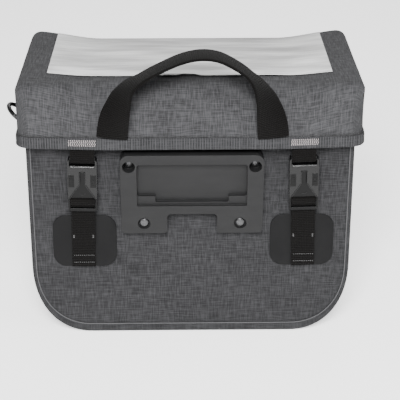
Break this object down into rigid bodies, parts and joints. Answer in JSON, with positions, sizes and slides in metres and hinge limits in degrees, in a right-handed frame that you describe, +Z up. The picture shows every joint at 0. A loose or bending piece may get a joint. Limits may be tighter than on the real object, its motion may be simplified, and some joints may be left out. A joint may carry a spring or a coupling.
{
  "type": "bicycle handlebar bag",
  "caption": "Soft grey box bag for a handlebar, with a lid, map window, carrying handle, side-release buckles, wedge adapter plate and D-rings.",
  "frame": {"origin": "the middle of the bag's flat base, on the surface it stands on", "axes": "+X to the right as the handlebar side is seen, along the bag's width; -Y out of the handlebar side, where the adapter plate and the buckles are; +Z up, towards the lid"},
  "size_m": [0.298, 0.1738, 0.252],
  "materials": {
    "fabric": "heathered grey woven polyester, matt",
    "lid_fabric": "heathered grey woven polyester, matt",
    "webbing": "black ribbed webbing",
    "patch": "smooth dark coated sheet, satin",
    "plastic": "dark grey moulded plastic, matt",
    "gloss_plastic": "black moulded plastic, satin gloss",
    "film": "clear soft film, glossy",
    "screw_steel": "black oxide"
  },
  "bodies": {
    "root": {"rear_panel": "fabric", "front_panel": "fabric", "gusset": "fabric", "lid": "lid_fabric", "map_window": "film", "handle": "webbing", "adapter_plate": "plastic", "screw_top_left": "screw_steel", "screw_foot_left": "screw_steel", "screw_top_right": "screw_steel", "screw_foot_right": "screw_steel", "strap_upper_left": "webbing", "buckle_female_left": "gloss_plastic", "buckle_male_left": "gloss_plastic", "strap_lower_left": "webbing", "patch_left": "patch", "ring_tab_left": "webbing", "d_ring_left": "gloss_plastic", "strap_upper_right": "webbing", "buckle_female_right": "gloss_plastic", "buckle_male_right": "gloss_plastic", "strap_lower_right": "webbing", "patch_right": "patch", "ring_tab_right": "webbing", "d_ring_right": "gloss_plastic"}
  },
  "joints": []
}
